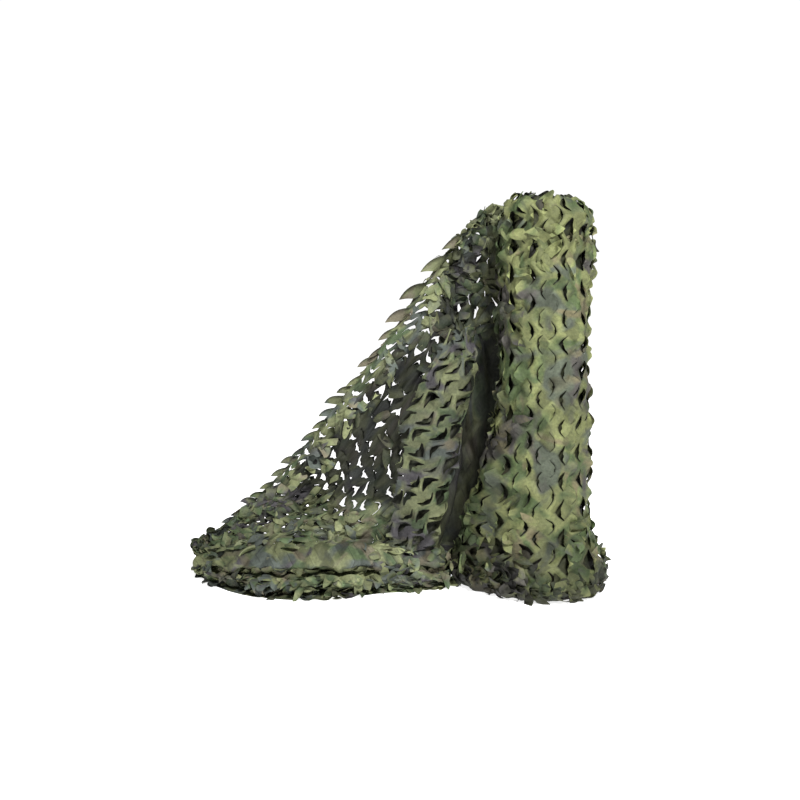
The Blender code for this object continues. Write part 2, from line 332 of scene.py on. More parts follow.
        # Each cell is a little domed and tilted.
        across = 1 - (2 * self.px - 1) ** 2
        down = 1 - (2 * self.py - 1) ** 2
        tilt_x, tilt_y = self.per_cell(seed + 2, -1, 1), self.per_cell(seed + 3, -1, 1)
        tilt = tilt_x * (self.px - 0.5) + tilt_y * (self.py - 0.5)
        out += dome * across * down * (self.per_cell(seed + 4, -0.3, 1.0) + 1.7 * tilt)
        sign = np.where(self.ahead, -1.0, 1.0)
        du = sign * (dx + dy) * self.leg_cells
        dv = sign * (dx - dy) * self.leg_cells
        return du, dv, out

    def painted_tones(self, seed, low=0.66, high=1.16):
        """Each leaf's painted light and shade: a random lightness, as if lit at its own angle, darker
        towards its root.
        """
        d = np.clip(1 - (self.x + self.y), 0, 1) * self.inside
        leaf = self.per_cell(seed, low, high) * (0.74 + 0.34 * d)
        strip = 0.86 + 0.32 * value_noise(self.u, self.v, 0.45, seed + 1)
        # Points on each slit are painted dark, a thin line of painted shade along the cut.
        return np.where(self.inside, leaf, strip) * np.where(self.beside, 0.45, 1.0)


# the box that no point of the netting leaves, just above the floor
ROOM_LOW, ROOM_HIGH = (-1.435, -0.279, 0.0008), (0.310, 0.282, 1.550)


def place_in_scene(name, data):
    thing = bpy.data.objects.new(name, data)
    bpy.context.scene.collection.objects.link(thing)
    return thing


def whole_faces(net, kept):
    """The net's quads and triangles whose points are all kept."""
    return [faces[kept[faces].all(axis=1)] for faces in (net.quads, net.tris)]


def build(name, places, quads, tris, cloth, shade, shade_back):
    """A mesh object from arrays.

    Each point carries its place on the flat cloth, the shade of both its sides, and a tint which
    is 1 on the loose end's pieces.
    """
    mesh = bpy.data.meshes.new(name)
    used = np.zeros(len(places), bool)
    used[quads.ravel()] = True
    used[tris.ravel()] = True
    renumber = np.cumsum(used) - 1
    quads, tris, places = renumber[quads], renumber[tris], places[used]
    places = np.clip(places, ROOM_LOW, ROOM_HIGH)
    loops = np.concatenate([quads.ravel(), tris.ravel()])
    sizes = np.concatenate([np.full(len(quads), 4), np.full(len(tris), 3)])
    mesh.vertices.add(len(places))
    mesh.vertices.foreach_set("co", places.astype(np.float32).ravel())
    mesh.loops.add(len(loops))
    mesh.loops.foreach_set("vertex_index", loops.astype(np.int32))
    mesh.polygons.add(len(sizes))
    starts = np.concatenate([[0], np.cumsum(sizes)[:-1]])
    mesh.polygons.foreach_set("loop_start", starts.astype(np.int32))
    mesh.update(calc_edges=True)
    mesh.validate()
    bluer = np.full(len(used), float(name.startswith("loose")))
    layers = {"cloth": cloth, "shade": shade, "shade_back": shade_back, "bluer": bluer}
    for key, values in layers.items():
        kind, field = ("FLOAT_VECTOR", "vector") if values.ndim == 2 else ("FLOAT", "value")
        layer = mesh.attributes.new(key, kind, "POINT")
        layer.data.foreach_set(field, values[used].astype(np.float32).ravel())
    mesh.shade_smooth()
    return place_in_scene(name, mesh)


def normals_of(place, u, v, step):
    """Unit normals of a surface, by small steps."""
    along = place(u + step, v) - place(u - step, v)
    across = place(u, v + step) - place(u, v - step)
    n = np.cross(along, across)
    return n / np.maximum(np.linalg.norm(n, axis=1, keepdims=True), 1e-12)


# ---------------- the loose end
LOOSE_LENGTH = 1.95
WIDTH = 1.5  # the netting's
CELLS_LONG = 20
CELLS_WIDE = 15
HUNG_ROWS = 10.5  # rows of cells that hang; the rest lie on the floor


def across_of(v):
    """The share of the width at a row: the hanging rows are drawn out longer by their weight."""
    hung = v * HANG_SHARE / HUNG_ROWS
    lain = HANG_SHARE + (v - HUNG_ROWS) * (1 - HANG_SHARE) / (CELLS_WIDE - HUNG_ROWS)
    return np.where(v < HUNG_ROWS, hung, lain)


def loose_surface(u, v):
    """The loose end's surface in cell units, carried on straight past its rims."""
    along, across = u / CELLS_LONG, across_of(v)
    a, c = np.clip(along, 0, 1), np.clip(across, 0, 1)
    place = sheet_place(a, c)
    past_a, past_c = along - a, across - c
    if np.any(past_a) or np.any(past_c):
        h = 0.01
        inner_a, inner_c = np.clip(a, h, 1 - h), np.clip(c, h, 1 - h)
        da = (sheet_place(inner_a + h, c) - sheet_place(inner_a - h, c)) / (2 * h)
        dc = (sheet_place(a, inner_c + h) - sheet_place(a, inner_c - h)) / (2 * h)
        place = place + da * past_a[:, None] + dc * past_c[:, None]
    return place


def zone(x, z, at_x, at_z, wide, high):
    """1 in the middle of a soft-edged oval on the hanging net, and 0 outside it."""
    return 1 - ease(((x - at_x) / wide) ** 2 + ((z - at_z) / high) ** 2 - 0.4)


def loose_zones(net):
    """Where each slit of the loose end is, and how far it belongs to each zone, from 0 to 1.

    The zones are the part that lies on the floor, the see-through holes, the cloth behind the
    curtain, and the deep fold beside the roll.
    """
    along, across = net.mid_u / CELLS_LONG, across_of(net.mid_v)
    spot = loose_surface(np.clip(net.mid_u, 0, CELLS_LONG), np.clip(net.mid_v, 0, CELLS_WIDE))
    x, z = spot[:, 0], spot[:, 2]
    lain = ease((across - HANG_SHARE + 0.03) / 0.06)
    front = ease((along - 0.40) / 0.05)
    holes = zone(x, z, -0.71, 0.53, 0.21, 0.24) * front * (1 - lain)
    holes = np.maximum(holes, zone(x, z, -0.35, 1.12, 0.16, 0.26) * (across < 0.35))
    curtain = ease((along - 0.27) / 0.04) * (1 - ease((along - 0.50) / 0.05)) * ease((across - 0.2) / 0.1)
    deep = (1 - ease((along - 0.25) / 0.03)) * ease((across - 0.15) / 0.05) * (1 - ease((z - 0.95) / 0.12))
    return SimpleNamespace(along=along, across=across, lain=lain, holes=holes, curtain=curtain, deep=deep)


def warp(u, v, seed, size=0.11):
    """Unevenness of the cut pattern along u and v, in cells."""
    return [
        size * value_noise(u, v, 1.3, seed + k) + 0.5 * size * value_noise(u, v, 0.55, seed + 60 + k)
        for k in (0, 1)
    ]


def held_at_rims(moves, at, last):
    """Moves that fade out towards both rims, at 0 and at last."""
    return moves * ease(at / 0.8) * ease((last - at) / 0.8)


def off_rims(at, last):
    return np.clip(at, 0.02, last - 0.02)


def relief(u, v, seed, size):
    """How the strips and leaves stand out of the net and sink into it, in metres."""
    return size * (0.5 * value_noise(u, v, 1.1, seed) + 0.8 * value_noise(u, v, 0.48, seed + 1))


def loose_layer(name, net, rim, offset, moves, seed, shade, shade_back, flip, size):
    """A layer of the loose end, from its row called rim down.

    flip is -1 where a tongue goes through the net to its far side, and size is the relief's.
    """
    du, dv, out = moves
    wu, wv = warp(net.u, net.v, 15)
    u = net.u + du + held_at_rims(wu, net.u, CELLS_LONG)
    v = net.v + dv + held_at_rims(wv, net.v, CELLS_WIDE)
    places = loose_surface(u, v)
    cu, cv = off_rims(net.u, CELLS_LONG), off_rims(net.v, CELLS_WIDE)
    normal = normals_of(loose_surface, cu, cv, 0.02)
    places = places + normal * (out * flip + relief(net.u, net.v, seed + 7, size) + offset)[:, None]
    flat = np.stack([net.u * LOOSE_LENGTH / CELLS_LONG + seed, across_of(net.v) * WIDTH, 0 * net.u], axis=1)
    kept = net.v >= rim * ease((net.u - 1.5) / 1.0)
    return build(name, places, *whole_faces(net, kept), flat, shade, shade_back)


# x, and how far below the upper selvedge the band of painted shade begins and ends there
PAINTED_SHADE_BAND = np.array([
    (-1.05, 0.05, 0.10), (-0.925, 0.07, 0.22), (-0.754, 0.11, 0.44), (-0.660, 0.15, 0.56),
    (-0.600, 0.17, 0.68), (-0.555, 0.19, 0.56), (-0.500, 0.18, 0.44), (-0.393, 0.12, 0.32),
    (-0.300, 0.10, 0.26),
])


def painted_shade_band(u, v):
    """Where the hanging net shows darkest: below its upper selvedge, above the curtain's foot."""
    spot = loose_surface(u, v)
    x, z = spot[:, 0], spot[:, 2]
    below = np.interp(-x, -EDGE[:, 1], EDGE[:, 3]) - z + 0.05 * value_noise(u, v, 1.6, 91)
    begins, ends = (np.interp(x, PAINTED_SHADE_BAND[:, 0], PAINTED_SHADE_BAND[:, c]) for c in (1, 2))
    # The band is painted shade, for the shadowed doubled net below the selvedge.
    band = ease((below - begins) / 0.06 + 0.5) * (1 - ease((below - ends) / 0.08 + 0.5))
    return band * ease((x + 1.05) / 0.12) * ease((u - 5.0) / 0.8)


def loose_shade(u, v, zones):
    """The loose end's shading by place.

    It is painted dark, as shade, behind the curtain and in the folds beside the roll, painted lighter
    on the floor against its folds' shadows, and darker again at the far hem.
    """
    fold = (1 - ease((zones.along - 0.27) / 0.05)) * ease((zones.across - 0.06) / 0.10)
    shade = 0.64 * (1 - 0.87 * np.maximum(painted_shade_band(u, v), zones.curtain * (1 - zones.lain)))
    shade = shade * (1 - 0.5 * fold) * (1 - 0.6 * zones.deep) * (1 + 0.42 * ease((v - 11.8) / 1.2))
    return shade * (1 - 0.4 * ease((v - 13.4) / 0.5) * ease((u - 10.5) / 1.5))


def make_loose_end():
    """The netting that is pulled out to the left."""
    net = Net(CELLS_LONG, CELLS_WIDE)
    zones = loose_zones(net)
    lain, holes = zones.lain, zones.holes
    curl = (1.0 + 1.9 * holes) * net.per_cell(11, 0.6, 1.4)
    flip = np.where((net.per_cell(12, 0, 1) < 0.2) & (lain < 0.5) | (holes > 0.3), -1.0, 1.0)
    gap = (0.10 + 0.10 * holes) * net.per_cell(13, 0.4, 1.6)
    sink = 0.012 * net.per_cell(14, 0.2, 1.3)
    # Slits stay shut low down, on the floor, in the deep fold and behind the curtain.
    low = ease((net.mid_v - 8.6) / 0.8) * (1 - ease(holes / 0.3))
    opened = (1 - lain) * (1 - zones.deep) * (1 - zones.curtain * (1 - holes)) * (1 - 0.9 * low)
    moves = net.open(curl, gap, sink, 10, opened, 0.014, np.maximum(1.6 * holes, 0.3))
    painted_tones = net.painted_tones(15, 0.52, 1.18)
    shade = loose_shade(net.u, net.v, zones) * painted_tones
    return loose_layer("loose_net", net, 0.30, 0.0, moves, 10, shade, 0.9 * painted_tones, flip, 0.013)


BACKING_ROWS = 11


def make_backing():
    """The further layer of the hanging part, seen dark through the near one's gaps."""
    net = Net(CELLS_LONG, BACKING_ROWS, steps=8, inset=2, leg=6)
    holes = loose_zones(net).holes
    wide = ease(2.5 * holes)
    curl = (0.5 + 2.5 * wide) * net.per_cell(41, 0.8, 1.1)
    gap = 0.30 * wide * net.per_cell(42, 0.7, 1.2)
    moves = net.open(curl, gap, 0.005, 40, 1.0, 0.008, holes)
    painted_tones = net.painted_tones(45)
    # Its front is painted dark, as the shade seen through the near layer's gaps; its back keeps the leaves'
    # lightness.
    return loose_layer("loose_backing", net, 1.4, -0.016, moves, 40, 0.13 * painted_tones, 0.9 * painted_tones, -1.0, 0.008)


# z, and the x of both sides of the curtain there
CURTAIN = np.array([
    (1.010, -0.375, -0.262), (0.888, -0.450, -0.254), (0.776, -0.502, -0.262), (0.664, -0.553, -0.284),
    (0.552, -0.583, -0.308), (0.440, -0.591, -0.336), (0.328, -0.598, -0.362), (0.150, -0.640, -0.400),
])
CURTAIN_CELLS = (4, 14)
CURTAIN_AHEAD = 0.050  # how far it hangs in front of the rest


def cubic_terms(x, z):
    return np.stack([x**i * z**k for i in range(4) for k in range(4 - i)], axis=1)


def depth_fit():
    """The depth of the hanging net round the curtain, as a cubic in x and z."""
    u, v = (g.ravel() for g in np.meshgrid(np.linspace(6.0, 11.0, 40), np.linspace(1.0, 10.2, 40)))
    spot = loose_surface(u, v)
    near = (spot[:, 0] > -0.66) & (spot[:, 0] < -0.27) & (spot[:, 2] > 0.15) & (spot[:, 2] < 1.05)
    x, y, z = spot[near].T
    return np.linalg.lstsq(cubic_terms(x, z), y, rcond=None)[0]


CURTAIN_DEPTH = depth_fit()


def curtain_surface(right, down):
    """The curtain, in shares from its left side to its right and from its top down."""
    z = CURTAIN[0, 0] + (CURTAIN[-1, 0] - CURTAIN[0, 0]) * down
    left, far = (np.interp(-z, -CURTAIN[:, 0], CURTAIN[:, c]) for c in (1, 2))
    x = left + (far - left) * right
    y = cubic_terms(x, z) @ CURTAIN_DEPTH - CURTAIN_AHEAD
    y = y + 0.02 * (2 * np.clip(right, 0, 1) - 1) ** 4 - 0.010 * np.sin(2 * pi * (1.3 * right + 0.4 * down))
    return np.stack([x, y, z], axis=1)


def make_curtain():
    """The front fold of the hanging part. Its cells stand square, as it hangs from a slanting rim."""
    wide, high = CURTAIN_CELLS
    net = Net(9, 9)

    def shares(u, v):
        """How far right and down on the curtain a place of the net is."""
        return (u + v - high / 2) / wide, (u - v + high / 2) / high

    curl = 1.4 * net.per_cell(61, 0.4, 1.6)
    gap = 0.17 * net.per_cell(62, 0.4, 1.7)
    du, dv, out = net.open(curl, gap, 0.012 * net.per_cell(63, 0.2, 1.4), 64, 1.0, 0.012, 0.2)
    wu, wv = warp(net.u, net.v, 65, 0.13)
    flip = np.where(net.per_cell(66, 0, 1) < 0.15, -1.0, 1.0)
    places = curtain_surface(*shares(net.u + du + wu, net.v + dv + wv))
    right, down = shares(net.u, net.v)
    normal = -normals_of(curtain_surface, right, down, 0.01)
    places = places + normal * (out * flip + relief(net.u, net.v, 67, 0.012))[:, None]
    flat = np.stack([net.u * PITCH + 67, net.v * PITCH, 0 * net.u], axis=1)
    shade = 0.50 * net.painted_tones(68)
    # Whole cells are kept, but for a ragged left side.
    cell_right, cell_down = shares(net.mid_u, net.mid_v)
    kept = (cell_right < 1) & (cell_down > 0.0) & (cell_down < 1)
    kept &= right > 0.10 + 0.10 * value_noise(net.u, net.v, 0.6, 69)
    return build("loose_curtain", places, *whole_faces(net, kept), flat, shade, 0.8 * shade)


def frames_on(surface, side, u, v):
    """Places on a surface, with their unit ways along u, across it, and out of it."""
    h = 0.03
    tu, tv = surface(u + h, v) - surface(u - h, v), surface(u, v + h) - surface(u, v - h)
    tu /= np.linalg.norm(tu, axis=1, keepdims=True) + 1e-12
    out = side * np.cross(tu, tv)
    out /= np.linalg.norm(out, axis=1, keepdims=True) + 1e-12
    return surface(u, v), tu, np.cross(out, tu) * side, out


def grid_faces(count, wide, long):
    """The quads of so many separate grids of points, and no triangles."""
    at = np.arange(count * wide * long).reshape(count, wide, long)
    ring = (at[:, :-1, :-1], at[:, 1:, :-1], at[:, 1:, 1:], at[:, :-1, 1:])
    return np.stack([r.ravel() for r in ring], axis=1), np.zeros((0, 3), int)


def make_leaves(name, surface, side, spots, seed, bends=(-0.5, 0.5), flares=(-0.5, 0.5)):
    """Cut leaves that hang by one end.

    spots has for each: u, v, heading from +u towards +v, width, length, lift, curl and shade.
    A leaf bends sideways by its bend, and widens to its end by its flare.
    """
    points = 7  # along and across each leaf
    u, v, heading, width, length, lift, curl, tone = (c[:, None, None] for c in spots.T)
    rng = np.random.default_rng(seed)
    ranges = (bends, flares, (-0.5, 0.5), (-0.7, 0.9), (-0.8, 0.8))
    bend, flare, slant, cup, twist = (rng.uniform(*r, u.shape) for r in ranges)
    base, tu, tv, out = (c[:, None, None, :] for c in frames_on(surface, side, spots[:, 0], spots[:, 1]))
    way = np.cos(heading)[..., None] * tu + np.sin(heading)[..., None] * tv
    beside = np.cross(out, way)
    s, t = np.linspace(-1, 1, points)[None, :, None], np.linspace(0, 1, points)[None, None, :]
    round_end = np.sqrt(1 - 0.5 * t**9)
    t = t * (1 + 0.5 * slant * s)
    half = width / 2 * np.clip(1 + flare * (t - 0.35) + 0.12 * np.sin(pi * t), 0.06, 2) * round_end
    curl = np.where(np.abs(curl) < 0.05, 0.05, curl)
    turn = lift + curl * t
    run, rise = (np.sin(turn) - np.sin(lift)) / curl, (np.cos(lift) - np.cos(turn)) / curl
    swell = half * (cup * (s**2 - 0.3) + twist * s * t)
    shift = s * half + bend * t**2 * length * 0.6
    places = base + way * (length * run - swell * np.sin(turn))[..., None] + beside * shift[..., None]
    places = places + out * (length * rise + swell * np.cos(turn) + 0.004)[..., None]
    flat = np.stack([u * PITCH + seed + shift, v * PITCH + t * length, np.zeros_like(shift)], axis=-1)
    # Painted shade darkens each leaf towards its root.
    shade = (tone * (0.78 + 0.28 * t)).ravel()
    faces = grid_faces(len(spots), points, points)
    return build(name, places.reshape(-1, 3), *faces, flat.reshape(-1, 3), shade, 0.8 * shade)


# where each fin's tip is: cells along the selvedge, metres out of it
FINS = np.array([
    (2.57, 0.012), (3.77, 0.021), (4.92, 0.030), (6.32, 0.036), (7.45, 0.029), (8.19, 0.010),
    (8.99, 0.000), (9.54, 0.012), (10.39, 0.002), (10.84, 0.016), (11.44, 0.029), (12.06, 0.015),
    (12.68, 0.005), (13.41, 0.010), (14.16, 0.002), (14.78, 0.017), (15.46, 0.013), (16.20, 0.012),
    (16.80, 0.017), (17.35, 0.025), (18.00, 0.010), (18.60, 0.011), (19.38, 0.011), (19.78, 0.009),
])
FIN_ROOT = -0.052


def make_fins():
    """The broad hooked leaves along the slanting upper selvedge, each with a lower lobe.

    Each lobe is drawn between an arched upper rim and a hollow lower one, in metres along the
    selvedge and out of it.
    """
    rng = np.random.default_rng(71)
    tip, reach = FINS.T
    count = len(tip)
    wide = np.clip(np.gradient(tip) * PITCH * 1.15, 0.060, 0.118)
    steps, ribs = 11, 9
    t = np.linspace(0, 0.985, steps)[None, None, :]
    s = np.linspace(0, 1, ribs)[None, :, None]

    def curve(start, via, end):
        start, via, end = (c[:, None, None] for c in (start, via, end))
        return (1 - t) ** 2 * start + 2 * t * (1 - t) * via + t**2 * end

    def lobe(first, last, end, high, bulge, hollow):
        """Both rims run to the end; first, last and end are shares of the width before the tip."""

        def rim(start, via_a, via_o):
            via_height = FIN_ROOT + via_o * (high - FIN_ROOT)
            along = curve(-start * wide, -via_a * wide, -end * wide)
            return along, curve(np.full(count, FIN_ROOT), via_height, high)

        upper, lower = rim(first, *bulge), rim(last, *hollow)
        return [up * (1 - s) + low * s for up, low in zip(upper, lower)]

    main = lobe(1.15, 0.35, 0.0, reach, (0.85, 1.15), (0.40, 0.55))
    low = lobe(0.70, 0.05, 0.02, reach * 0.2 - 0.010, (0.30, 0.75), (-0.05, 0.45))
    a, o = (np.concatenate([m, n]) for m, n in zip(main, low))
    tips = np.concatenate([tip, tip + 0.12])[:, None, None]
    u = (tips + a / PITCH).clip(0.05, CELLS_LONG - 0.01).ravel()
    place, tu, _, _ = frames_on(loose_surface, 1.0, u, np.zeros_like(u))
    away = np.cross((0.0, 1.0, 0.0), tu)
    away /= np.linalg.norm(away, axis=1, keepdims=True)
    out = np.cross(away, tu)
    share = np.clip((o - FIN_ROOT) / 0.07, 0, 1.2)
    lift = rng.uniform(-0.006, 0.022, (2 * count, 1, 1))
    cup = rng.uniform(-0.004, 0.016, (2 * count, 1, 1))
    rise = 0.006 + lift * share + cup * (2 * s - 1) ** 2 * share
    rise = rise + 0.004 * np.concatenate([np.zeros(count), np.ones(count)])[:, None, None]
    root = np.clip(o / FIN_ROOT, 0, 1).ravel()[:, None]
    under = loose_surface(u, 0.75 * root[:, 0])
    places = (place + away * o.ravel()[:, None]) * (1 - root) + under * root
    places = places + out * (rise.ravel()[:, None] * (1 - root) - 0.008 * root)
    # Painted shade: each fin is darker along its curled upper rim and towards its root, with a random
    # lightness.
    tone = rng.uniform(0.50, 0.90, (2 * count, 1, 1)) * (0.25 + 0.75 * ease(s / 0.45)) * (0.65 + 0.4 * t)
    flat = np.stack([u * PITCH + 10, o.ravel(), np.zeros_like(u)], axis=1)
    shade = tone.ravel()
    return build("loose_fins", places, *grid_faces(2 * count, ribs, steps), flat, shade, 0.8 * shade)


def scatter(rng, groups):
    """Random leaves, from groups that each say how many, and the bounds of each of their values.

    The values are u, v, heading, width, length, lift, curl and shade.
    """
    return np.concatenate([
        np.stack([rng.uniform(*bounds, count) for bounds in ranges], axis=1) for count, *ranges in groups
    ])


def bands(rng, count, u, v, heading, shade, width=(0.024, 0.040), length=(0.055, 0.085), lift=(0.2, 0.5)):
    """Random strips of the net that arch out of it and come back to it."""
    spots = scatter(rng, [(count, u, v, heading, width, length, lift, (0.8, 1.1), shade)])
    spots[:, 6] *= -2 * spots[:, 5]
    return spots


CALM = ((-0.3, 0.3), (-0.25, 0.25))  # bends and flares of the strips that make_leaves draws as arches


def make_loose_leaves():
    rng = np.random.default_rng(72)
    up = -pi / 2
    spots = scatter(rng, [
        # the ruffle where the selvedge leaves the roll
        (44, (0.1, 3.2), (0.0, 0.8), (up - 0.9, up + 0.9),
         (0.03, 0.045), (0.02, 0.035), (-0.2, 0.9), (-0.8, 1.4), (0.3, 0.8)),
        # the wall behind the crease, its leaves painted dark as its shade
        (30, (0.4, 4.0), (0.8, 6.0), (-1, 4),
         (0.03, 0.05), (0.03, 0.055), (0.1, 0.7), (-0.4, 1.4), (0.22, 0.5)),
        # just below the upper selvedge
        (18, (5, 18), (1.0, 2.4), (-0.6, 2.2),
         (0.03, 0.05), (0.035, 0.05), (0.1, 0.5), (-0.4, 1.6), (0.6, 1.05)),
        # the slope down to the tip
        (16, (12.5, 19.8), (3.0, 10.0), (-1, 3),
         (0.022, 0.038), (0.028, 0.045), (0.0, 0.3), (-0.6, 1.0), (0.5, 1.0)),
        # over the edges of the long folds on the floor
        (24, (7.4, 19.4), (11.2, 12.1), (0.8, 2.3),
         (0.024, 0.04), (0.035, 0.055), (-0.5, 0.2), (-0.6, 0.4), (0.6, 1.1)),
        (30, (7.2, 19.6), (12.9, 14.1), (0.8, 2.3),
         (0.024, 0.04), (0.04, 0.06), (-0.3, 0.4), (-0.6, 0.4), (0.4, 0.9)),
        # the hem on the floor
        (50, (11.5, 19.6), (14.2, 14.98), (-0.3, 3.4),
         (0.024, 0.04), (0.025, 0.036), (0.1, 0.6), (-1.0, 0.2), (0.16, 0.45)),
        (40, (7.6, 11.5), (13.2, 14.9), (-1, 4),
         (0.026, 0.04), (0.03, 0.045), (0.0, 0.5), (-1.0, 0.6), (0.6, 1.1)),
        # the bunched tip
        (50, (18.9, 19.9), (1.0, 13.0), (-0.9, 0.9),
         (0.025, 0.04), (0.025, 0.038), (0.1, 0.6), (-0.2, 1.6), (0.2, 0.6)),
    ])
    return make_leaves("loose_leaves", loose_surface, 1.0, spots, 10)


def make_loose_bands():
    rng = np.random.default_rng(74)
    fine, longer = ((0.018, 0.03), (0.04, 0.07)), ((0.022, 0.036), (0.045, 0.075))  # width, length
    spots = [
        # the wall behind the crease, painted dark as its shade, and just below the upper selvedge
        bands(rng, 36, (0.4, 3.6), (0.6, 6.0), (-1, 4), (0.22, 0.55)),
        bands(rng, 24, (5, 18), (1.0, 2.6), (-0.8, 2.4), (0.6, 1.05)),
        # the slope down to the tip, and its foot
        bands(rng, 64, (12.0, 19.6), (3.0, 10.0), (-1, 4), (0.4, 0.9), *fine),
        bands(rng, 30, (8.6, 19.6), (10.0, 11.0), (-1, 4), (0.5, 1.0), *fine),
        bands(rng, 30, (6.8, 10.8), (10.4, 12.4), (-1, 4), (0.5, 1.0), (0.02, 0.034), (0.04, 0.07)),
        # behind the curtain, painted dark as its shade
        bands(rng, 36, (6.5, 11.0), (2.0, 7.0), (-1, 4), (0.12, 0.26)),
        # the folds on the floor
        bands(rng, 150, (7.0, 19.6), (11.6, 13.6), (-1, 4), (0.4, 1.0), *longer),
        bands(rng, 150, (7.4, 19.6), (13.4, 14.7), (-1, 4), (0.3, 0.75), *longer),
    ]
    return make_leaves("loose_bands", loose_surface, 1.0, np.concatenate(spots), 10, *CALM)


# ---------------- the roll
CELLS_ROUND = 12
ROUND = 1.09  # metres round the roll


def roll_profile():
    """The outer layer's line from the foot up and over the shoulder: length, radius, skirt, z."""
    last = len(ROLL_RINGS) - 1
    at = np.linspace(0, last, 400)
    z, r, s = (np.interp(at, np.arange(last + 1), column) for column in ROLL_RINGS.T)
    length = np.concatenate([[0], np.cumsum(np.hypot(np.diff(z), np.diff(r)))])
    return length, r, s, z


PROFILE = roll_profile()
OUTER = -0.006  # the outer net's offset, just inside the solid's face

# how far the netting bulges low down on the left, in which direction, and how wide
SAG, SAG_ANGLE, SAG_WIDE = 0.040, radians(188), radians(34)


def shoulder_drop(x):
    """How far the roll's limp top rim sinks at either side of it, in metres."""
    return 0.050 * ease((x - 0.06) / 0.12) + 0.022 * ease((-0.09 - x) / 0.05)


def roll_surface(u, v, offset=OUTER):
    """The roll's outer layer in cell units: u round the roll, v down from its top."""
    length, radii, skirts, heights = PROFILE
    total = length[-1]
    at = np.clip(total * (1 - v / CELLS_WIDE), 0, total)
    past = total * (1 - v / CELLS_WIDE) - at
    r, s, z = (np.interp(at, length, values) for values in (radii, skirts, heights))
    angle = LEAVE_ANGLE + 2 * pi * u / CELLS_ROUND
    off = (angle - SAG_ANGLE + pi) % (2 * pi) - pi
    sag = SAG * np.exp(-((off / SAG_WIDE) ** 2)) * np.exp(-(((z - 0.36) / 0.22) ** 2))
    radius = roll_radius(angle, r, s, z, u / CELLS_ROUND) + sag + offset
    # The net turns in past its top rim, and less so past its foot.
    radius = radius - past * (past > 0) + 0.3 * past * (past < 0)
    x = radius * np.cos(angle)
    return np.stack([x, radius * np.sin(angle), z - shoulder_drop(x) * (1 - ease(v / 2.2))], axis=1)


def roll_layer(name, net, start, offset, moves, seed, shade, size):
    """A layer of the roll, whose net begins at start and lies offset from the solid's face."""

    def surface(u, v):
        return roll_surface(u, v, offset=offset)

    du, dv, out = moves
    wu, wv = warp(net.u, net.v, seed + 5)
    places = surface(net.u + start + du + wu, net.v + dv + held_at_rims(wv, net.v, CELLS_WIDE))
    normal = -normals_of(surface, net.u + start, off_rims(net.v, CELLS_WIDE), 0.02)
    places = places + normal * (out + relief(net.u, net.v, seed + 7, size))[:, None]
    flat = np.stack([net.u * ROUND / CELLS_ROUND + seed, net.v * WIDTH / CELLS_WIDE, 0 * net.u], axis=1)
    return build(name, places, net.quads, net.tris, flat, shade, 0.75 * shade)


def make_roll():
    """The roll's outer turn, whose slits stand widest open at its top, foot and left."""
    start = -0.5
    net = Net(CELLS_ROUND - start, CELLS_WIDE)
    top = 1 - ease((net.mid_v - 2.0) / 1.6)
    foot = ease((net.mid_v - 11.8) / 1.2)
    left = np.exp(-(((net.mid_u + start - 2.3) / 0.9) ** 2)) * ease((net.mid_v - 6) / 2)
    curl = (0.58 + 0.75 * top + 1.1 * foot + 0.5 * left) * net.per_cell(21, 0.3, 1.7)
    curl = np.where(net.mid_v < 0.8, 0.25, np.minimum(curl, 1.6))
    gap = (0.06 + 0.09 * top + 0.15 * foot + 0.06 * left) * net.per_cell(22, 0.4, 1.6)
    sink = (0.008 + 0.006 * foot + 0.006 * top) * net.per_cell(23, 0.3, 1.5)
    moves = net.open(curl, gap, sink, 20, 1.0, 0.016, 0.35)
    size = 0.010 + 0.008 * (1 - ease((net.v - 2.2) / 2)) + 0.005 * ease((net.v - 11.5) / 2)
    hem = ease((net.v - 14.2) / 0.7)
    # Painted shade: darker at the hem under the roll and on the side that faces the fold; darker too
    # towards the foot.
    shade = 0.84 * net.painted_tones(25) * (1 - 0.7 * hem) * (1 - 0.38 * left) * (1 - 0.34 * foot)
    return roll_layer("roll_net", net, start, OUTER, moves, 20, shade, size)


def make_under_layer():
    """The turn under the outer one, seen dark in its gaps."""
    net = Net(CELLS_ROUND, CELLS_WIDE, steps=6, inset=1, leg=4)
    moves = net.open(net.per_cell(31, 0.1, 0.5), 0.02, 0.002, 30, 1 - ease((net.mid_v - 10) / 2))
    # Both sides are painted dark, as the shade seen in the outer turn's gaps.
    return roll_layer("roll_under", net, 0.3, -0.030, moves, 30, np.full_like(net.u, 0.14), 0.004)


def make_roll_leaves():
    rng = np.random.default_rng(73)
    spots = scatter(rng, [
        # the flared foot
        (16, (0, 12), (11.8, 14.2), (-0.2, 3.3),
         (0.03, 0.045), (0.035, 0.05), (0.1, 0.4), (-0.8, 0.6), (0.3, 0.8)),
        # the hem, painted dark as the shade under the roll's foot
        (90, (0, 12), (13.9, 14.4), (-0.6, 0.6),
         (0.03, 0.045), (0.02, 0.032), (0.0, 0.3), (-0.4, 0.2), (0.10, 0.35)),
        (90, (0, 12), (14.4, 14.8), (-0.4, 0.1),
         (0.024, 0.036), (0.03, 0.045), (0.1, 0.4), (-0.3, 0.1), (0.08, 0.26)),
        # the folds between the hem and the loose end, painted dark as their shade
        (22, (1.9, 3.7), (13.6, 14.6), (-0.5, 0.3),
         (0.035, 0.05), (0.04, 0.06), (0.1, 0.5), (-0.5, 0.1), (0.10, 0.40)),
    ])
    return make_leaves("roll_leaves", roll_surface, -1.0, spots, 20)


